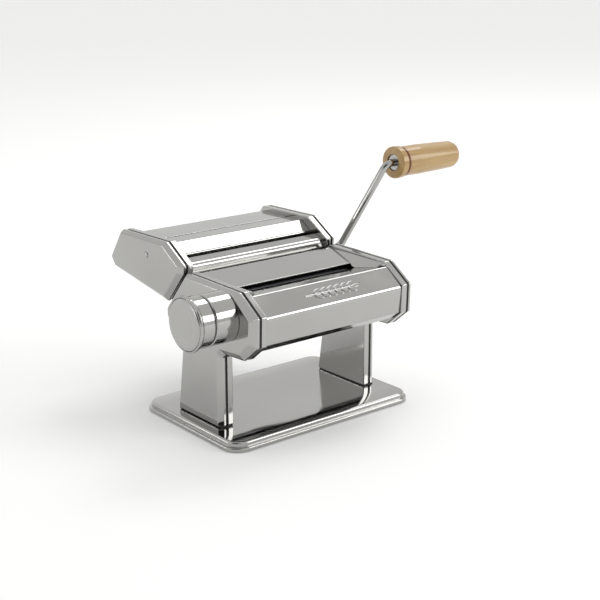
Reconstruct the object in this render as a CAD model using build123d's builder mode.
from build123d import *
import math
import os

os.makedirs("parts", exist_ok=True)

# A hand-cranked pasta roller: polished steel head on two legs, a base tray, and a cutter head
# that slides onto the rear slope. Millimetres. +Z is up, the front is -Y, +X is the crank side.
# The origin lies on the table, under the middle of the base.

# ---------------------------------------------------------------- driving dimensions
work_width = 150.0        # between the two inner rims: the width of dough the machine rolls
rim_depth = 5.5           # each cheek is three layers along X: rim, seam and cover
seam_depth = 2.5
cover_depth = 6.0
bevel_depth = 4.0         # the part of the cover's depth that slopes to its flat face
head_ridge_round = 1.2    # rounding of the ridge between a cover's flat face and its bevel
cutter_ridge_round = 2.0
cutter_edge_round = 0.9   # rounding of the outer edge of the cutter head's bevels
sheet = 1.2               # folded steel sheet
plate = 1.2               # web of the inner side plates
seam_recess = 0.8         # the seam's black gasket lies this far inside the outline
head_level = 112.5        # reference level of the head, which its outlines are drawn from
axis_height = head_level - 1.0
base_margin = 13.5        # base beyond the cheeks along X
base_front_back = 141.2   # base size along Y
base_height = 8.6
foot_pad = 1.6            # rubber pad under the base
foot_gasket = 0.8         # black strip under each leg

roller_radius = 13.0
roller_gap = 2.5          # nip at the widest setting, the rest position
roller_travel = 2.1       # how far the knob brings the front roller to the rear one
front_axis_y = -40.0
journal_radius = 6.5
cutter_radius = 9.0
cutter_spacing = 17.0     # between the axes of a cutter pair
cutter_journal = 5.0
crank_rod_radius = 3.5
crank_reach = 90.4        # crank axis to grip axis
crank_lean = 27.0         # how far the arm leans outward over its reach
grip_length = 80.0
settings = 9              # thickness settings of the knob
setting_step = 36.0       # degrees between two settings

# ---------------------------------------------------------------- clearances
shaft_gap = 0.06          # radial running clearance of a shaft
seat_gap = 0.03           # radial gap of a bushing pressed into its plate
slide_gap = 0.12          # sliding fit of the bearing blocks and keyed shafts
part_gap = 0.4            # between pieces that move past each other
cover_gap = 0.4           # between a folded cover and the rims beside it

# ---------------------------------------------------------------- derived places
rim_x = work_width / 2
seam_x = rim_x + rim_depth
cover_x = seam_x + seam_depth
face_x = cover_x + cover_depth
web_x = rim_x + plate
rear_axis_y = front_axis_y + 2 * roller_radius + roller_gap
nip_y = (front_axis_y + rear_axis_y) / 2
base_x = face_x + base_margin
leg_foot_z = base_height + foot_gasket
gear_x = web_x + 2.4      # inner face of every gear
gear_width = 5.0
socket_end_x = face_x + 1.0
socket_depth = 16.0
socket_radius = crank_rod_radius + shaft_gap + 0.02


def up(height):
    """Height above the table of a point given from the head's reference level."""
    return head_level + height


# The rear slope of the head, along which the cutter head slides. "out" is the distance from
# the head's level at y = 0 measured square to the slope, "along" runs down the slope.
slope_angle = 49.8
slope_down = (math.cos(math.radians(slope_angle)), -math.sin(math.radians(slope_angle)))
slope_out = (-slope_down[1], slope_down[0])
head_slope = 28.25        # the head's slope lies this far out
dock_gap = 2.8            # gap between the head's slope and the cutter head
dock_slope = head_slope + dock_gap


def on_slope(along, out):
    """Point (y, z) given by its run down the slope and its distance square to the slope."""
    y = along * slope_down[0] + out * slope_out[0]
    z = along * slope_down[1] + out * slope_out[1]
    return (y, up(z))


def slope_point(y, out):
    """Point (y, z) on the line that lies out square to the slope, at the given y."""
    return (y, up((out - y * slope_out[0]) / slope_out[1]))


# ---------------------------------------------------------------- outlines of the cheeks
head_outline = [
    slope_point(18.0, head_slope),
    (-57.0, up(21.5)),
    (-81.3, up(5.0)),
    (-80.6, up(-20.3)),
    (-62.6, up(-35.3)),
    (-36.5, up(-36.5)),
    (-32.5, up(-40.5)),
    (-32.5, leg_foot_z),
    (33.3, leg_foot_z),
    (31.0, leg_foot_z + 15.6),
    (25.5, up(-48.5)),
    (27.5, up(-41.0)),
    (37.5, up(-33.5)),
    (48.0, up(-22.5)),
    slope_point(48.0, head_slope),
]
# The flat outer face: the same corners, moved in by the bevel of the edge they lie on.
head_face = [
    (15.5, up(20.0)),
    (-52.0, up(19.3)),
    (-74.0, up(0.7)),
    (-73.5, up(-17.0)),
    (-61.0, up(-29.5)),
    (-33.0, up(-32.0)),
    (-28.5, up(-37.0)),
    (-28.5, leg_foot_z),
    (29.8, leg_foot_z),
    (27.5, leg_foot_z + 15.4),
    (22.0, up(-49.0)),
    (24.0, up(-39.0)),
    (34.5, up(-31.0)),
    (44.5, up(-20.8)),
    (44.5, up(-14.0)),
]
cutter_outline = [
    (120.5, up(42.5)),
    (49.5, up(44.0)),
    (22.3, up(27.5)),
    slope_point(23.5, dock_slope),
    slope_point(48.5, dock_slope),
    (134.5, up(4.5)),
    (141.5, up(14.5)),
]
cutter_face = [
    (119.5, up(40.3)),
    (51.0, up(41.3)),
    (28.0, up(27.0)),
    (28.6, up(21.2)),
    (50.5, up(-4.6)),
    (131.5, up(7.6)),
    (137.0, up(14.8)),
]

# ---------------------------------------------------------------- axes (y, z)
front_axis = (front_axis_y, axis_height)
rear_axis = (rear_axis_y, axis_height)
wide_axis = (48.4, up(8.9))
wide_mate_axis = (
    wide_axis[0] + cutter_spacing * slope_out[0],
    wide_axis[1] + cutter_spacing * slope_out[1],
)
narrow_axis = (87.6, up(15.4))
narrow_mate_axis = (
    narrow_axis[0] + cutter_spacing * slope_out[0],
    narrow_axis[1] + cutter_spacing * slope_out[1],
)
cutter_axes = [wide_axis, wide_mate_axis, narrow_axis, narrow_mate_axis]
head_rods = [(-66.0, up(-4.0)), (-54.0, up(-27.0)), (34.0, up(-18.0))]
cutter_rods = [(76.5, up(27.9)), (116.5, up(30.5)), (76.0, up(2.5))]
rod_radius = 3.0


# ---------------------------------------------------------------- shared makers
def save(piece, name):
    """Name a finished piece and write it to its own file."""
    piece.part.label = name
    export_step(piece.part, f"parts/{name}.step")


def save_both(piece, name):
    """Write a right-hand piece, and its mirror image for the left."""
    save(piece, f"right_{name}")
    with BuildPart() as other:
        mirror(piece.part, about=Plane.YZ)
    save(other, f"left_{name}")


def save_group(piece, name):
    """Write a right-hand piece and its mirror image together, as two solids of one node."""
    with BuildPart() as both:
        add(piece.part)
        mirror(about=Plane.YZ)
    save(both, name)


def side_plane(x):
    """The plane square to X at the given x, with the sketch's axes along Y and Z."""
    return Plane.YZ.offset(x)


def moved_in(points, inset):
    """Corners of an outline whose edges all move in; the corners run anticlockwise."""
    moved = []
    for before, here, after in zip(points[-1:] + points[:-1], points, points[1:] + points[:1]):
        arriving = Vector(here[0] - before[0], here[1] - before[1]).normalized()
        leaving = Vector(after[0] - here[0], after[1] - here[1]).normalized()
        mitre = (arriving + leaving).normalized()
        reach = inset / (mitre.X * arriving.X + mitre.Y * arriving.Y)
        moved.append((here[0] - mitre.Y * reach, here[1] + mitre.X * reach))
    return moved


def outline(x, points, inset=0.0, corner=1.5):
    """A cheek outline with rounded corners on the side plane at x, moved in by the inset."""
    with BuildSketch(side_plane(x)) as shape:
        with BuildLine():
            FilletPolyline(*moved_in(points, inset), radius=corner, close=True)
        make_face()
    return shape.sketch


def folded(points, bends, half_width, thickness=sheet):
    """A folded sheet: the fold line of its outer face, its bend radii and its half width."""
    with BuildPart() as piece:
        with BuildSketch(side_plane(-half_width)):
            with BuildLine():
                FilletPolyline(*points, radius=bends)
                offset(amount=thickness, side=Side.LEFT)
            make_face()
        extrude(amount=2 * half_width)
    return piece


def turned(axis, profile):
    """A body of revolution about an X axis through (y, z), from (x, radius) points."""
    centre = Plane(origin=(0, axis[0], axis[1]), x_dir=(1, 0, 0), z_dir=(0, -1, 0))
    with BuildPart() as piece:
        with BuildSketch(centre):
            with BuildLine():
                Polyline(*profile, close=True)
            make_face()
        revolve(axis=Axis((0, axis[0], axis[1]), (1, 0, 0)))
    return piece


def rod_profile(start, end, radius, bore=0.0):
    """The (x, radius) points of a plain rod, or of a ring when it has a bore."""
    return [(start, bore), (end, bore), (end, radius), (start, radius)]


def stepped_profile(steps):
    """The (x, radius) points of a solid shaft, from its (end x, radius) steps in order."""
    points = [(steps[0][0], 0.0)]
    for (start, _), (end, radius) in zip(steps, steps[1:]):
        points += [(start, radius), (end, radius)]
    points.append((steps[-1][0], 0.0))
    return points


def drilled(axes, radius, start, end):
    """Cut round holes along X through the part being built."""
    with BuildSketch(side_plane(start)) as holes:
        with Locations(*axes):
            Circle(radius)
    extrude(holes.sketch, amount=end - start, mode=Mode.SUBTRACT)


# ---------------------------------------------------------------- base
base_corner = 16.0
base_step = 2.5           # width of the step round the base
base_step_z = 4.0
base_rim_z = 0.6          # the tray's rim stays clear of the table
base_step_round = 1.2
base_top_round = 2.2
tray_wall = 1.0
base_screw_y = 18.0
base_screw_radius = 1.7
base_screw_head = 4.6
screw_x = (web_x + seam_x) / 2
rim_wall = 1.4            # thickness of a side plate's turned rim, and the seam's inner edge
base_screw_rows = (-base_screw_y, base_screw_y)
base_screw_places = [(side * screw_x, y) for side in (-1, 1) for y in base_screw_rows]


def base_slab(height, top, inset, mode=Mode.ADD):
    """A slab with the base's rounded corners, moved in by the inset, in the part being built."""
    with BuildSketch(Plane.XY.offset(height)) as shape:
        corner = max(base_corner - inset, 3.0)
        RectangleRounded(2 * (base_x - inset), base_front_back - 2 * inset, corner)
    extrude(shape.sketch, amount=top - height, mode=mode)


def round_posts(places, radius, bottom, top, mode=Mode.SUBTRACT):
    """Upright round holes, or posts, at the given places in the part being built."""
    with BuildSketch(Plane.XY.offset(bottom)) as shape:
        with Locations(*places):
            Circle(radius)
    extrude(shape.sketch, amount=top - bottom, mode=mode)


screw_hole = base_screw_radius + 0.3
above_base = base_height + 1.0
tray_inside = base_step + tray_wall + 1.5

with BuildPart() as base_plate:
    base_slab(base_rim_z, base_step_z, 0.0)
    fillet(base_plate.edges().group_by(Axis.Z)[-1], base_step_round)
    base_slab(base_step_z - 1.5, base_height, base_step)
    fillet(base_plate.edges().group_by(Axis.Z)[-1], base_top_round)
    base_slab(base_rim_z, base_step_z - tray_wall - 0.5, tray_wall, Mode.SUBTRACT)
    base_slab(base_rim_z, base_height - tray_wall, tray_inside, Mode.SUBTRACT)
    round_posts(base_screw_places, screw_hole, 0.0, above_base)
save(base_plate, "base_plate")

with BuildPart() as base_board:
    base_slab(foot_pad, base_height - tray_wall, tray_inside + part_gap)
    round_posts(base_screw_places, screw_hole, 0.0, above_base)
save(base_board, "base_board")

with BuildPart() as foot_mat:
    base_slab(0.0, foot_pad, tray_wall + part_gap)
    round_posts(base_screw_places, base_screw_head + 0.1, -1.0, above_base)
save(foot_mat, "rubber_foot_mat")

leg_front_y = head_outline[7][0]
leg_rear_y = head_outline[8][0]
leg_block_front = leg_front_y + 6.0
leg_block_rear = leg_rear_y - 7.5
leg_block_x = (web_x, cover_x + 2.0)
leg_block_z = leg_foot_z + rim_wall


def leg_box(x_range, y_range, bottom, top):
    """A right-hand block standing in, or under, a leg with its screw holes cut through."""
    with BuildPart() as piece:
        with BuildSketch(Plane.XY.offset(bottom)):
            with Locations((sum(x_range) / 2, sum(y_range) / 2)):
                Rectangle(x_range[1] - x_range[0], y_range[1] - y_range[0])
        extrude(amount=top - bottom)
        round_posts(base_screw_places, base_screw_radius + seat_gap, bottom, leg_foot_z + 8.0)
    return piece


leg_foot_x = (rim_x + 0.4, face_x - 2.0)
leg_foot_y = (leg_front_y + 1.0, leg_rear_y - 1.5)
save_group(leg_box(leg_foot_x, leg_foot_y, base_height, leg_foot_z), "leg_foot_gaskets")
leg_nut_y = (leg_block_front, leg_block_rear)
save_group(leg_box(leg_block_x, leg_nut_y, leg_block_z, leg_block_z + 9.0), "leg_nut_blocks")

with BuildPart() as base_screws:
    round_posts(base_screw_places, base_screw_head, 0.5, foot_pad, Mode.ADD)
    round_posts(base_screw_places, base_screw_radius, foot_pad, leg_foot_z + 7.0, Mode.ADD)
save(base_screws, "base_screws")

# ---------------------------------------------------------------- cheeks
bushing_wall = 2.5
bushing_seat = journal_radius + bushing_wall + seat_gap
block_half_height = 11.0
block_front = -9.0        # the bearing block's ends, measured from its axis
block_rear = 13.0
cutter_bushing_radius = 7.0
cutter_seat = cutter_bushing_radius + seat_gap
slot_middle = (block_front + block_rear + roller_travel) / 2
shaft_hole = 7.6          # clearance hole in a cover for a socket end


def side_plate(points, seats, rods, slot):
    """Pressed side plate: a web with a rim turned outward, right-hand side."""
    with BuildPart() as piece:
        extrude(outline(rim_x, points), amount=rim_depth)
        fillet(piece.edges().filter_by(Plane.YZ).group_by(Axis.X)[0], 0.8)
        extrude(outline(web_x, points, rim_wall), amount=rim_depth, mode=Mode.SUBTRACT)
        for radius, axes in seats:
            drilled(axes, radius, rim_x - 1.0, web_x + 1.0)
        drilled(rods, rod_radius + seat_gap, rim_x - 1.0, web_x + 1.0)
        round_posts(base_screw_places, base_screw_radius + seat_gap, 0.0, leg_block_z + 1.0)
        if slot:
            with BuildSketch(side_plane(rim_x - 1.0)):
                with Locations((front_axis_y + slot_middle, axis_height)):
                    Rectangle(
                        block_rear - block_front + roller_travel + 2 * part_gap,
                        2 * (block_half_height + slide_gap),
                    )
            extrude(amount=plate + 2.0, mode=Mode.SUBTRACT)
    return piece


def seam_ring(points):
    """Black gasket between a side plate and its cover, right-hand side."""
    with BuildPart() as piece:
        extrude(outline(seam_x, points, seam_recess), amount=seam_depth)
        extrude(outline(seam_x, points, rim_wall), amount=seam_depth, mode=Mode.SUBTRACT)
    return piece


def cheek_cover(points, face_points, side, ridge_round, edge_round, holes):
    """Pressed outer cover with a sloping bevel round its flat face, for one side."""
    bevel_x = face_x - bevel_depth
    with BuildPart() as piece:
        extrude(outline(cover_x, points), amount=bevel_x - cover_x)
        loft([outline(bevel_x, points), outline(face_x, face_points)], ruled=True)
        fillet(piece.faces().sort_by(Axis.X)[-1].edges(), ridge_round)
        if edge_round > 0:
            rim_edges = piece.edges().filter_by(lambda edge: abs(edge.center().X - bevel_x) < 0.01)
            fillet(rim_edges, edge_round)
        extrude(outline(cover_x, points, sheet), amount=bevel_x - cover_x, mode=Mode.SUBTRACT)
        inside = [outline(bevel_x, points, sheet), outline(face_x - sheet, face_points, sheet)]
        loft(inside, ruled=True, mode=Mode.SUBTRACT)
        for radius, axes in holes:
            drilled(axes, radius, bevel_x, face_x + 1.0)
    if side > 0:
        return piece
    with BuildPart() as other:
        mirror(piece.part, about=Plane.YZ)
    return other


screw_pilot = 1.7
cover_screw_axes = [cutter_rods[0]]
head_plate = side_plate(head_outline, [(bushing_seat, [rear_axis])], head_rods, True)
save_both(head_plate, "side_plate")
save_group(seam_ring(head_outline), "seam_gaskets")
for side, name, axis in [(1, "right", rear_axis), (-1, "left", front_axis)]:
    holes = [(shaft_hole, [axis])]
    cover = cheek_cover(head_outline, head_face, side, head_ridge_round, 0.0, holes)
    save(cover, f"{name}_cheek_cover")

cutter_plate = side_plate(cutter_outline, [(cutter_seat, cutter_axes)], cutter_rods, False)
save_both(cutter_plate, "cutter_side_plate")
save_group(seam_ring(cutter_outline), "cutter_seam_gaskets")
screw_holes = [(screw_pilot, cover_screw_axes)]
crank_holes = screw_holes + [(shaft_hole, [wide_axis, narrow_axis])]
for side, name, holes in [(1, "right", crank_holes), (-1, "left", screw_holes)]:
    rounds = (cutter_ridge_round, cutter_edge_round)
    cover = cheek_cover(cutter_outline, cutter_face, side, *rounds, holes)
    save(cover, f"{name}_cutter_cover")

# ---------------------------------------------------------------- folded covers of the head
cover_half = rim_x - cover_gap
bend = 2.0                # outer radius of an ordinary fold
brow_bend = 5.5           # the wide fold below the front slope
roller_top = axis_height + roller_radius
lip_front = (nip_y - 4.6, roller_top + 0.3)
lip_rear = (nip_y + 4.9, roller_top + 2.4)
ridge = (-60.5, up(18.0))
brow = (-80.4, up(3.6))
front_cover_line = [lip_front, ridge, brow, (-78.4, up(-20.4)), (-70.0, up(-27.5))]
rear_cover_line = [
    (41.0, up(-31.0)),
    (45.6, up(-24.0)),
    slope_point(45.6, head_slope - 2.0),
    (16.6, up(20.8)),
    lip_rear,
]
hopper_fall = (up(20.8) - lip_rear[1]) / (16.6 - lip_rear[0])


def wheat_ear(length, grains):
    """A generic wheat ear lying along X on the current sketch: a stem and paired grains."""
    with BuildSketch(Plane.XY, mode=Mode.PRIVATE) as ear:
        Rectangle(length, 1.1)
        for number in range(grains):
            along = -length / 2 + 14.0 + number * (length - 17.0) / (grains - 1)
            for side in (-1, 1):
                with Locations(Location((along, side * 3.0), side * 26.0)):
                    Ellipse(4.2, 1.4)
        with Locations((length / 2 + 2.4, 0.0)):
            Ellipse(4.0, 1.4)
    return ear.sketch


relief_height = 0.8
brow_plane = Plane(
    origin=(0, (ridge[0] + brow[0]) / 2, (ridge[1] + brow[1]) / 2),
    x_dir=(1, 0, 0),
    z_dir=(0, brow[1] - ridge[1], ridge[0] - brow[0]),
)
with BuildPart() as front_cover:
    add(folded(front_cover_line, [bend, brow_bend, 1.6], cover_half).part)
    relief_root = 0.3     # how far the relief is sunk into the cover, so that they join
    ear = brow_plane.offset(-relief_root).location * wheat_ear(54.0, 6)
    extrude(ear, amount=relief_height + relief_root)
save(front_cover, "front_cover")

# Docking channels cut through the rear cover's slope, and the rails of the cutter head in them.
rail_x = 58.0
rail_along = (4.0, 34.0)  # run of the channels down the slope
channel_half = 8.0
channel_floor = head_slope - 2.0
channel_lip = dock_slope - 0.6
channel_wall = 1.2
rail_head_half = 5.0
rail_stem_half = 2.4


def slope_block(x_middle, x_half, along, out, mode=Mode.ADD):
    """A block on the rear slope, in the part being built: ranges along the slope and out of it."""
    corners = [
        on_slope(along[0], out[0]),
        on_slope(along[1], out[0]),
        on_slope(along[1], out[1]),
        on_slope(along[0], out[1]),
    ]
    with BuildSketch(side_plane(x_middle - x_half)) as shape:
        with BuildLine():
            Polyline(*corners, close=True)
        make_face()
    extrude(shape.sketch, amount=2 * x_half, mode=mode)


save(folded(rear_cover_line, [bend, bend, 1.6], cover_half), "hopper_rear_cover")

with BuildPart() as dock_channel:
    slope_block(rail_x, channel_half, rail_along, (channel_floor, channel_lip))
    inside_half = channel_half - channel_wall
    inside_along = (rail_along[0] - 1.0, rail_along[1] - channel_wall)
    inside_out = (channel_floor + channel_wall, channel_lip - channel_wall)
    slope_block(rail_x, inside_half, inside_along, inside_out, Mode.SUBTRACT)
    lip_half = rail_stem_half + part_gap
    mouth_out = (inside_out[0], channel_lip + 1.0)
    slope_block(rail_x, lip_half, inside_along, mouth_out, Mode.SUBTRACT)
save_group(dock_channel, "dock_channels")

# ---------------------------------------------------------------- covers of the cutter head
tray_out = dock_slope + 0.5
cutter_front_line = [
    slope_point(47.5, tray_out),
    slope_point(26.4, tray_out),
    (27.6, up(26.4)),
    (38.5, up(29.6)),
]
cutter_middle_line = [
    (50.5, up(24.4)),
    (44.6, up(30.4)),
    (59.5, up(39.6)),
    (77.6, up(39.4)),
]
cutter_rear_line = [
    (81.0, up(39.2)),
    (118.0, up(38.6)),
    (137.4, up(14.3)),
    (131.6, up(7.6)),
    (119.0, up(6.0)),
]
cutter_front = folded(cutter_front_line[::-1], [4.5, 4.5], cover_half, 1.0)
save(cutter_front, "cutter_front_cover")
cutter_middle = folded(cutter_middle_line[::-1], [3.0, 2.0], cover_half, 1.0)
save(cutter_middle, "cutter_middle_cover")
cutter_rear = folded(cutter_rear_line[::-1], [2.0, 3.0, 2.5], cover_half, 1.0)
save(cutter_rear, "cutter_rear_cover")

# ---------------------------------------------------------------- folded dough guides
# One at each end of the hopper: a steel wedge that turns the dough in towards the slot. Its
# sloping face runs through a top corner at the rim, the slot's end and a front foot.
guide_top = Vector(rim_x, 9.5, up(20.6))
guide_slot = Vector(rim_x - 10.5, -22.0, roller_top + 0.8)
guide_foot = Vector(rim_x - 7.0, -55.0, up(17.0))
guide_box = (rim_x - 16.0, cover_half)
guide_face = Plane(
    origin=guide_top,
    x_dir=guide_slot - guide_top,
    z_dir=(guide_slot - guide_top).cross(guide_foot - guide_top),
)


def guide_block(profile, mode):
    """A block along X over the guide's width, from its (y, z) corners."""
    with BuildSketch(side_plane(guide_box[0])) as shape:
        with BuildLine():
            Polyline(*profile, close=True)
        make_face()
    extrude(shape.sketch, amount=guide_box[1] - guide_box[0], mode=mode)


with BuildPart() as dough_guide:
    # Above the two plates of the hopper and under the rim's top, from the ridge to the rear.
    lift = 0.02
    guide_profile = [
        (ridge[0], ridge[1] + lift),
        (lip_front[0], lip_front[1] + lift),
        (nip_y, lip_front[1] + 0.4),
        (lip_rear[0], lip_rear[1] + lift),
        (guide_top.Y, up(20.8) - (16.6 - guide_top.Y) * hopper_fall + lift),
        (guide_top.Y, guide_top.Z),
        (ridge[0], guide_top.Z),
    ]
    guide_block(guide_profile, Mode.ADD)
    # Take away what lies over the sloping face.
    with BuildSketch(guide_face) as above_face:
        Rectangle(400.0, 400.0)
    extrude(above_face.sketch, amount=40.0, mode=Mode.SUBTRACT)
    # The front end is cut square down, from the foot back to the rim.
    with BuildSketch(Plane.XY.offset(lip_front[1] - 10.0)) as front_cut:
        with BuildLine():
            Polyline(
                (guide_foot.X, guide_foot.Y),
                (guide_box[0] - 5.0, guide_foot.Y),
                (guide_box[0] - 5.0, ridge[0] - 5.0),
                (rim_x + 1.0, ridge[0] - 5.0),
                (rim_x + 1.0, ridge[0]),
                close=True,
            )
        make_face()
    extrude(front_cut.sketch, amount=40.0, mode=Mode.SUBTRACT)
save_group(dough_guide, "dough_guides")

# ---------------------------------------------------------------- rollers
roller_half = rim_x - 1.6
main_teeth = 12
main_tip = 15.0
main_root = 2 * roller_radius + roller_gap - roller_travel - main_tip - part_gap
tooth_root_half = 1.3
tooth_tip_half = 0.5
socket_notch_half = 1.2
socket_notch_radius = 4.8
shaft_left = -(web_x + 2.0)


def socket(axis, depth, notch_depth):
    """Cut a crank socket into the right-hand end of the shaft being built."""
    drilled([axis], socket_radius, socket_end_x - depth, socket_end_x + 1.0)
    with BuildSketch(side_plane(socket_end_x - notch_depth)) as notch:
        with Locations(axis):
            Rectangle(2 * socket_notch_radius, 2 * socket_notch_half)
    extrude(notch.sketch, amount=notch_depth + 1.0, mode=Mode.SUBTRACT)


def gear(axis, teeth, root, tip, bore, turn):
    """A spur gear at the right-hand cheek; turn is the angle of its first tooth in degrees."""
    with BuildSketch() as tooth:
        with BuildLine():
            Polyline(
                (root - 0.4, -tooth_root_half),
                (tip, -tooth_tip_half),
                (tip, tooth_tip_half),
                (root - 0.4, tooth_root_half),
                close=True,
            )
        make_face()
    centre = Plane(origin=(gear_x, axis[0], axis[1]), x_dir=(0, 1, 0), z_dir=(1, 0, 0))
    with BuildPart() as piece:
        with BuildSketch(centre):
            Circle(root)
            with PolarLocations(0.0, teeth, start_angle=turn):
                add(tooth.sketch)
            Circle(bore, mode=Mode.SUBTRACT)
        extrude(amount=gear_width)
    return piece


bush_x = (rim_x - 0.8, web_x + 1.8)     # a bushing's ends along X
bush_flange = 1.3


def bushing(axis, bore, seat):
    """Add a flanged bushing through the right-hand web, and the same at any other place."""
    flange = seat + bush_flange
    ring = [
        (bush_x[0], bore),
        (bush_x[1], bore),
        (bush_x[1], flange),
        (web_x, flange),
        (web_x, seat),
        (bush_x[0], seat),
    ]
    add(turned(axis, ring).part)


rear_steps = [
    (shaft_left, 0.0),
    (-roller_half, journal_radius),
    (roller_half, roller_radius),
    (socket_end_x, journal_radius),
]
with BuildPart() as rear_roller:
    add(turned(rear_axis, stepped_profile(rear_steps)).part)
    socket(rear_axis, socket_depth, 10.0)
save(rear_roller, "rear_roller")
front_steps = [
    (shaft_left, 0.0),
    (-roller_half, journal_radius),
    (roller_half, roller_radius),
    (gear_x + gear_width, journal_radius),
]
save(turned(front_axis, stepped_profile(front_steps)), "front_roller")

mesh_turn = 180.0 / main_teeth
rear_gear = gear(rear_axis, main_teeth, main_root, main_tip, journal_radius, mesh_turn)
save(rear_gear, "rear_roller_gear")
front_gear = gear(front_axis, main_teeth, main_root, main_tip, journal_radius, 0.0)
save(front_gear, "front_roller_gear")

with BuildPart() as roller_bushings:
    bushing(rear_axis, journal_radius + shaft_gap, bushing_seat - seat_gap)
    mirror(about=Plane.YZ)
save(roller_bushings, "rear_roller_bushings")

# Bearing blocks that carry the front roller and slide in the side plates' slots.
cam_pin_reach = 10.0      # follower pin from the front roller's axis, towards the rear
cam_pin_radius = 1.5
cam_x = (web_x + 4.6, web_x + 7.6)


def bearing_block():
    """The right-hand block: a body in the slot, and a flange outside the web."""
    with BuildPart() as piece:
        middle = front_axis_y + (block_front + block_rear) / 2
        with BuildSketch(side_plane(bush_x[0])):
            with Locations((middle, axis_height)):
                Rectangle(block_rear - block_front, 2 * block_half_height)
        extrude(amount=web_x + part_gap - bush_x[0])
        with BuildSketch(side_plane(web_x + slide_gap)):
            with Locations((middle, axis_height)):
                Rectangle(block_rear - block_front + 1.0, 2 * block_half_height + 3.0)
        extrude(amount=bush_x[1] - web_x - slide_gap)
        drilled([front_axis], journal_radius + shaft_gap, bush_x[0] - 1.0, bush_x[1] + 1.0)
    return piece


save(bearing_block(), "right_bearing_block")
with BuildPart() as left_block:
    mirror(bearing_block().part, about=Plane.YZ)
    pin_axis = (front_axis_y + cam_pin_reach, axis_height)
    add(turned(pin_axis, rod_profile(-cam_x[1] + 0.4, -bush_x[1] + 0.5, cam_pin_radius)).part)
save(left_block, "left_bearing_block")

# Scraper blades under the rollers; each strips the dough from its roller. A blade's corners
# are given by their distance from the roller's surface and their angle round its axis.
blade_corners = [(0.55, -52.2), (0.55, -45.0), (4.1, -46.0), (4.1, -51.6)]
blade = []
for distance, degrees in blade_corners:
    corner = Vector(roller_radius + distance, 0).rotate(Axis.Z, degrees)
    blade.append((corner.X, corner.Y))


def scraper(axis, toward, half):
    """A blade along X beside a roller; toward is +1 when the nip lies to its rear."""
    with BuildPart() as piece:
        with BuildSketch(side_plane(-half)):
            with BuildLine():
                Polyline(*[(axis[0] + toward * y, axis[1] + z) for y, z in blade], close=True)
            make_face()
        extrude(amount=2 * half)
    return piece


save(scraper(front_axis, 1, bush_x[0]), "front_scraper")
save(scraper(rear_axis, -1, rim_x), "rear_scraper")

# ---------------------------------------------------------------- tie rods and their nuts
nut_height = 2.6
nut_radius = 5.0


def rods_through(axes, name):
    """Write the rods of one frame, and the nuts on both their ends."""
    with BuildPart() as rods:
        for axis in axes:
            add(turned(axis, rod_profile(-web_x - nut_height, web_x + nut_height, rod_radius)).part)
    save(rods, f"{name}_tie_rods")
    with BuildPart() as nuts:
        for axis in axes:
            with BuildSketch(side_plane(web_x)) as hexagon:
                with Locations(axis):
                    RegularPolygon(nut_radius, 6)
                    Circle(rod_radius + seat_gap, mode=Mode.SUBTRACT)
            extrude(amount=nut_height)
        mirror(about=Plane.YZ)
    save(nuts, f"{name}_tie_rod_nuts")


rods_through(head_rods, "head")
rods_through(cutter_rods, "cutter")

with BuildPart() as cover_screws:
    screw_end_x = face_x - sheet - 4.0
    screw_body = screw_pilot - 0.05
    screw = [
        (screw_end_x, 0.0),
        (face_x + 1.3, 0.0),
        (face_x + 1.1, 1.6),
        (face_x + 0.4, 2.8),
        (face_x, 3.0),
        (face_x, screw_body),
        (screw_end_x, screw_body),
    ]
    for axis in cover_screw_axes:
        add(turned(axis, screw).part)
    mirror(about=Plane.YZ)
save(cover_screws, "cutter_cover_screws")

# ---------------------------------------------------------------- cutters
cutter_half = rim_x - 2.0
groove_radius = cutter_spacing - cutter_radius - part_gap
cutter_teeth = 10
cutter_tip = 9.3
cutter_root = cutter_spacing - cutter_tip - part_gap
wide_pitch = 13.0         # one rib and one groove of the wide cutters
narrow_pitch = 4.0
side_clear = 0.3          # between a rib and the walls of the groove it runs in


def ribs(pitch, shift):
    """Middles of a cutter's ribs: whole pitches from the middle, moved by half for a mate."""
    count = int((cutter_half - pitch / 4) // (pitch / 2))
    middles = [number * pitch / 2 for number in range(-count, count + 1)]
    return [x for number, x in enumerate(middles, -count) if number % 2 == shift]


def cutter_steps(pitch, shift, end_x):
    """Shaft steps of a cutter with its ribs and grooves."""
    rib_half = pitch / 4 - side_clear / 2
    steps = [(shaft_left, 0.0), (-cutter_half, cutter_journal)]
    for middle in ribs(pitch, shift):
        steps += [(middle - rib_half, groove_radius), (middle + rib_half, cutter_radius)]
    steps += [(cutter_half, groove_radius), (end_x, cutter_journal)]
    return steps


def cutter(axis, pitch, shift, name, driven):
    """Write a cutter; a driven one ends in a crank socket, a mate ends at its gear."""
    end_x = socket_end_x if driven else gear_x + gear_width
    with BuildPart() as piece:
        add(turned(axis, stepped_profile(cutter_steps(pitch, shift, end_x))).part)
        if driven:
            collar = rod_profile(gear_x, socket_end_x, socket_notch_radius + 1.3)
            add(turned(axis, collar).part)
            socket(axis, socket_depth, 8.0)
    save(piece, name)


cutter(wide_axis, wide_pitch, 0, "wide_cutter_driven", True)
cutter(wide_mate_axis, wide_pitch, 1, "wide_cutter_mate", False)
cutter(narrow_axis, narrow_pitch, 0, "narrow_cutter_driven", True)
cutter(narrow_mate_axis, narrow_pitch, 1, "narrow_cutter_mate", False)
open_angle = 90.0 - slope_angle
collar_radius = socket_notch_radius + 1.3
gear_names = ["wide_driven_gear", "wide_mate_gear", "narrow_driven_gear", "narrow_mate_gear"]
for number, (axis, name) in enumerate(zip(cutter_axes, gear_names)):
    bore = cutter_journal if number % 2 else collar_radius
    first_tooth = open_angle + (180.0 / cutter_teeth if number % 2 else 0.0)
    save(gear(axis, cutter_teeth, cutter_root, cutter_tip, bore, first_tooth), name)

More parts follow.
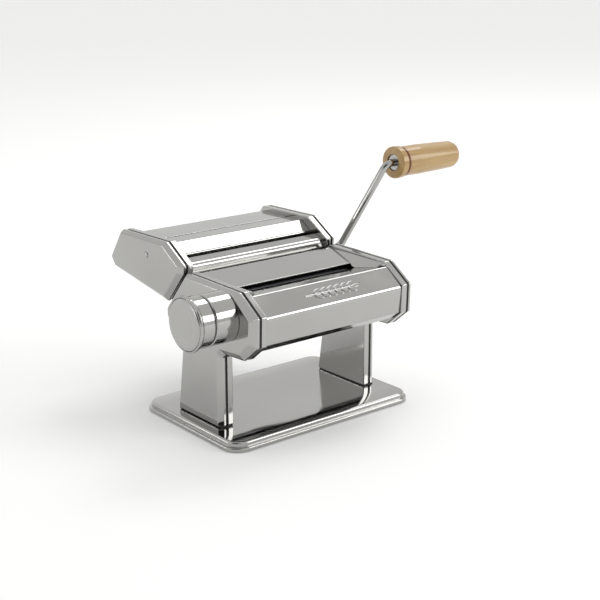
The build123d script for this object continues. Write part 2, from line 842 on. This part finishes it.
with BuildPart() as cutter_bushings:
    for axis in cutter_axes:
        bushing(axis, cutter_journal + shaft_gap, cutter_bushing_radius)
    mirror(about=Plane.YZ)
save(cutter_bushings, "cutter_bushings")

# Combs that lift the noodles out of the grooves, on the way out of each pair.
comb_near = 5.4           # the comb's face from its cutter's axis, square to the feed
comb_thick = 1.0
comb_tip = 6.2            # the tips and the bar, measured down the feed from the axes
comb_bar = (8.2, 19.0)


def comb(axis, inward, pitch, shift):
    """A comb of one cutter; inward is +1 when its pair lies above it."""
    def corner(along, square):
        across = inward * square
        y = axis[0] + along * slope_down[0] + across * slope_out[0]
        z = axis[1] + along * slope_down[1] + across * slope_out[1]
        return (y, z)

    def strip(x_start, x_end, along):
        corners = [
            corner(along[0], comb_near),
            corner(along[1], comb_near),
            corner(along[1], comb_near + comb_thick),
            corner(along[0], comb_near + comb_thick),
        ]
        with BuildSketch(side_plane(x_start)) as shape:
            with BuildLine():
                Polyline(*corners, close=True)
            make_face()
        extrude(shape.sketch, amount=x_end - x_start)

    tooth_half = pitch / 4 - side_clear / 2 - 0.15
    with BuildPart() as piece:
        strip(-rim_x, rim_x, comb_bar)
        for middle in ribs(pitch, 1 - shift):
            strip(middle - tooth_half, middle + tooth_half, (comb_tip, comb_bar[0] + 0.5))
    return piece


def comb_pair(lower_axis, upper_axis, pitch, name):
    """Write the two combs of a cutter pair as one node."""
    with BuildPart() as both:
        add(comb(lower_axis, 1, pitch, 0).part)
        add(comb(upper_axis, -1, pitch, 1).part)
    save(both, name)


comb_pair(wide_axis, wide_mate_axis, wide_pitch, "wide_combs")
comb_pair(narrow_axis, narrow_mate_axis, narrow_pitch, "narrow_combs")

# Rails under the cutter head's tray: a stem, and a wider head that runs in the channel.
rail_start = rail_along[0] + 1.0
rail_end = rail_along[1] - channel_wall - part_gap
rail_head = (channel_floor + channel_wall + part_gap, channel_lip - channel_wall - part_gap)
with BuildPart() as rail:
    slope_block(rail_x, rail_head_half, (rail_start, rail_end), rail_head)
    slope_block(rail_x, rail_stem_half, (rail_start, rail_end), (rail_head[0], tray_out))
save_group(rail, "dock_rails")

# ---------------------------------------------------------------- thickness regulator
collar_length = 21.8
collar_radius_out = 22.0
collar_wall = 2.5
collar_web = 4.0
hub_radius = 6.5
knob_pull = 4.0
knob_end_x = face_x + 39.0
knob_rim = 23.8
knob_cap_radius = 22.0
cap_depth = 3.4           # of the seat that the face cap lies in
cap_gap = 0.35
collar_end_x = face_x + collar_length
skirt_x = collar_end_x + 1.4
sleeve_radius = collar_radius_out - collar_wall - 0.4
hex_radius = 4.6
knob_web_x = (face_x + 12.0, face_x + 16.0)
detent_circle = 16.0
washer_x = knob_end_x - 8.0


def turned_left(profile):
    """A body of revolution on the front roller's axis, on the left: (distance out, radius)."""
    return turned(front_axis, [(-x, radius) for x, radius in profile])


with BuildPart() as collar:
    shell = [
        (face_x, hub_radius + shaft_gap),
        (face_x, collar_radius_out - 0.6),
        (face_x + 0.6, collar_radius_out),
        (collar_end_x - 0.8, collar_radius_out),
        (collar_end_x, collar_radius_out - 0.8),
        (collar_end_x, collar_radius_out - collar_wall),
        (face_x + collar_web, collar_radius_out - collar_wall),
        (face_x + collar_web, hub_radius + shaft_gap),
    ]
    add(turned_left(shell).part)
    dimples = Plane(
        origin=(-face_x - collar_web, front_axis_y, axis_height), x_dir=(0, 1, 0), z_dir=(-1, 0, 0)
    )
    with BuildSketch(dimples):
        spread = settings * setting_step
        with PolarLocations(detent_circle, settings, start_angle=90.0, angular_range=spread):
            Circle(1.3)
    extrude(amount=-1.0, mode=Mode.SUBTRACT)
save(collar, "regulator_collar")

# The cam disc: its spiral slot draws the follower pin, and so the front roller, to the rear.
full_turn = (settings - 1) * setting_step
cam_plane = Plane(
    origin=(-cam_x[0], front_axis_y, axis_height), x_dir=(0, 1, 0), z_dir=(-1, 0, 0)
)
cam_steps = 32
cam_radius = 15.5
cam_points = []
for number in range(cam_steps + 1):
    share = number / cam_steps
    angle = math.radians(full_turn * share)
    reach = cam_pin_reach + roller_travel * share
    cam_points.append((reach * math.cos(angle), reach * math.sin(angle)))
with BuildPart() as cam_shaft:
    hub = [
        (cam_x[0], 0.0),
        (cam_x[0], cam_radius),
        (cam_x[1], cam_radius),
        (cam_x[1], hub_radius),
        (face_x + collar_web + 0.4, hub_radius),
        (face_x + collar_web + 0.4, hex_radius),
        (face_x + collar_web + 1.0, hex_radius),
        (face_x + collar_web + 1.0, 0.0),
    ]
    add(turned_left(hub).part)
    with BuildSketch(cam_plane):
        with BuildLine():
            Spline(*cam_points)
        trace(line_width=2 * (cam_pin_radius + part_gap))
        with Locations(cam_points[0], cam_points[-1]):
            Circle(cam_pin_radius + part_gap)
    extrude(amount=cam_x[1] - cam_x[0] + 0.1, mode=Mode.SUBTRACT)
    with BuildSketch(cam_plane.offset(face_x + collar_web + 0.9 - cam_x[0])):
        RegularPolygon(hex_radius, 6)
    extrude(amount=washer_x - face_x - collar_web - 0.9)
save(cam_shaft, "cam_shaft")

with BuildPart() as knob:
    skin = [
        (knob_web_x[0], hex_radius - 1.0),
        (knob_web_x[0], sleeve_radius),
        (skirt_x, sleeve_radius),
        (skirt_x, collar_radius_out - 0.6),
        (skirt_x + 0.6, collar_radius_out),
        (knob_end_x - 4.6, collar_radius_out),
        (knob_end_x - 3.2, knob_rim - 0.4),
        (knob_end_x - 2.4, knob_rim),
        (knob_end_x - 1.0, knob_rim - 0.1),
        (knob_end_x - 0.2, knob_rim - 0.9),
        (knob_end_x - 0.2, knob_cap_radius + cap_gap),
        (knob_end_x - cap_depth, knob_cap_radius + cap_gap),
        (knob_end_x - cap_depth, knob_cap_radius - 3.0),
        (knob_web_x[1], knob_cap_radius - 7.0),
        (knob_web_x[1], hex_radius - 1.0),
    ]
    add(turned_left(skin).part)
    with BuildSketch(cam_plane.offset(knob_web_x[0] - cam_x[0] - 0.1)):
        RegularPolygon(hex_radius + slide_gap, 6)
    extrude(amount=8.0, mode=Mode.SUBTRACT)
    pin_profile = rod_profile(-knob_web_x[0] - 0.1, -face_x - collar_web - 0.35, 1.2)
    add(turned((front_axis_y, axis_height + detent_circle), pin_profile).part)
save(knob, "regulator_knob")

with BuildPart() as knob_cap:
    face = [
        (knob_end_x - cap_depth, 0.0),
        (knob_end_x - cap_depth, knob_cap_radius),
        (knob_end_x - 0.3, knob_cap_radius),
        (knob_end_x + 0.4, knob_cap_radius - 0.7),
        (knob_end_x + 0.7, knob_cap_radius - 2.2),
        (knob_end_x + 0.6, knob_cap_radius - 6.5),
        (knob_end_x + 0.2, knob_cap_radius - 9.0),
        (knob_end_x + 0.2, 0.0),
    ]
    add(turned_left(face).part)
save(knob_cap, "knob_face_cap")

with BuildPart() as end_washer:
    add(turned_left(rod_profile(washer_x, washer_x + 1.2, 8.0)).part)
save(end_washer, "regulator_end_washer")

# The spring is drawn as short as a full pull makes it, so it clears the knob on the way.
spring_wire = 0.6
spring_start = washer_x - 0.3 - spring_wire
spring_turns = 5
spring_length = washer_x - knob_web_x[1] - knob_pull - 1.0 - 2 * spring_wire
coil = Helix(
    pitch=spring_length / spring_turns,
    height=spring_length,
    radius=hex_radius + spring_wire + 0.5,
    center=(-spring_start, front_axis_y, axis_height),
    direction=(1, 0, 0),
)
with BuildPart() as spring:
    with BuildSketch(Plane(origin=coil @ 0, z_dir=coil % 0)):
        Circle(spring_wire)
    sweep(path=coil, is_frenet=True)
save(spring, "regulator_spring")

# ---------------------------------------------------------------- crank socket rings
ring_profile = [
    (face_x, shaft_hole),
    (face_x + 1.4, shaft_hole),
    (face_x + 1.8, shaft_hole + 0.8),
    (face_x + 1.4, shaft_hole + 2.6),
    (face_x, shaft_hole + 3.0),
]
save(turned(rear_axis, ring_profile), "roller_socket_ring")

# ---------------------------------------------------------------- crank
crank_start_x = socket_end_x - socket_depth + 1.0
crank_bend_x = face_x + 25.5
grip_start_x = face_x + 61.0
grip_bend_x = crank_bend_x + crank_lean
crank_angle = 112.8       # direction of the arm in the side view, from the rear upwards
crank_up = (math.cos(math.radians(crank_angle)), math.sin(math.radians(crank_angle)))
grip_axis = (wide_axis[0] + crank_reach * crank_up[0], wide_axis[1] + crank_reach * crank_up[1])
rod_end_x = grip_start_x + 66.0
crank_plane = Plane(
    origin=(0, wide_axis[0], wide_axis[1]), x_dir=(1, 0, 0), z_dir=(0, -crank_up[1], crank_up[0])
)
key_half = 0.9
ring_groove_x = grip_start_x + 12.4
with BuildPart() as crank_rod:
    with BuildLine(crank_plane) as bar_line:
        FilletPolyline(
            (crank_start_x, 0.0),
            (crank_bend_x, 0.0),
            (grip_bend_x, crank_reach),
            (rod_end_x, crank_reach),
            radius=[9.0, 9.0],
        )
    with BuildSketch(side_plane(crank_start_x)):
        with Locations(wide_axis):
            Circle(crank_rod_radius)
    sweep(path=bar_line.wire())
    with BuildSketch(side_plane(socket_end_x - 6.5)):
        with Locations(wide_axis):
            Rectangle(2 * (socket_notch_radius - 0.4), 2 * key_half)
    extrude(amount=5.5)
save(crank_rod, "crank_rod")

grip_bore = crank_rod_radius + 0.3
bushing_outer = 6.2
with BuildPart() as grip:
    skin = [
        (grip_start_x, 8.0),
        (grip_start_x, 14.2),
        (grip_start_x + 1.0, 15.3),
        (grip_start_x + 7.0, 15.3),
        (grip_start_x + 8.0, 14.3),
        (grip_start_x + 8.4, 13.3),
        (grip_start_x + 9.6, 13.3),
        (grip_start_x + 10.2, 14.2),
        (grip_start_x + 30.0, 14.4),
        (grip_start_x + 60.0, 13.6),
        (grip_start_x + grip_length - 5.0, 13.0),
        (grip_start_x + grip_length - 1.4, 11.6),
        (grip_start_x + grip_length, 8.6),
        (grip_start_x + grip_length, 0.0),
        (rod_end_x + 1.0, 0.0),
        (rod_end_x + 1.0, grip_bore),
        (grip_start_x + 16.0, grip_bore),
        (grip_start_x + 16.0, bushing_outer),
        (grip_start_x + 2.6, bushing_outer),
        (grip_start_x + 2.6, 8.0),
    ]
    add(turned(grip_axis, skin).part)
save(grip, "wooden_grip")

with BuildPart() as grip_bushing:
    sleeve = [
        (grip_start_x + 1.2, crank_rod_radius + shaft_gap),
        (ring_groove_x - 0.4, crank_rod_radius + shaft_gap),
        (ring_groove_x - 0.4, bushing_outer),
        (grip_start_x + 2.6, bushing_outer),
        (grip_start_x + 2.6, 7.6),
        (grip_start_x + 1.2, 7.6),
    ]
    add(turned(grip_axis, sleeve).part)
save(grip_bushing, "grip_bushing")

clip_end_x = ring_groove_x + 1.6
clip_profile = rod_profile(ring_groove_x, clip_end_x, bushing_outer - 0.4, crank_rod_radius)
save(turned(grip_axis, clip_profile), "grip_retaining_ring")
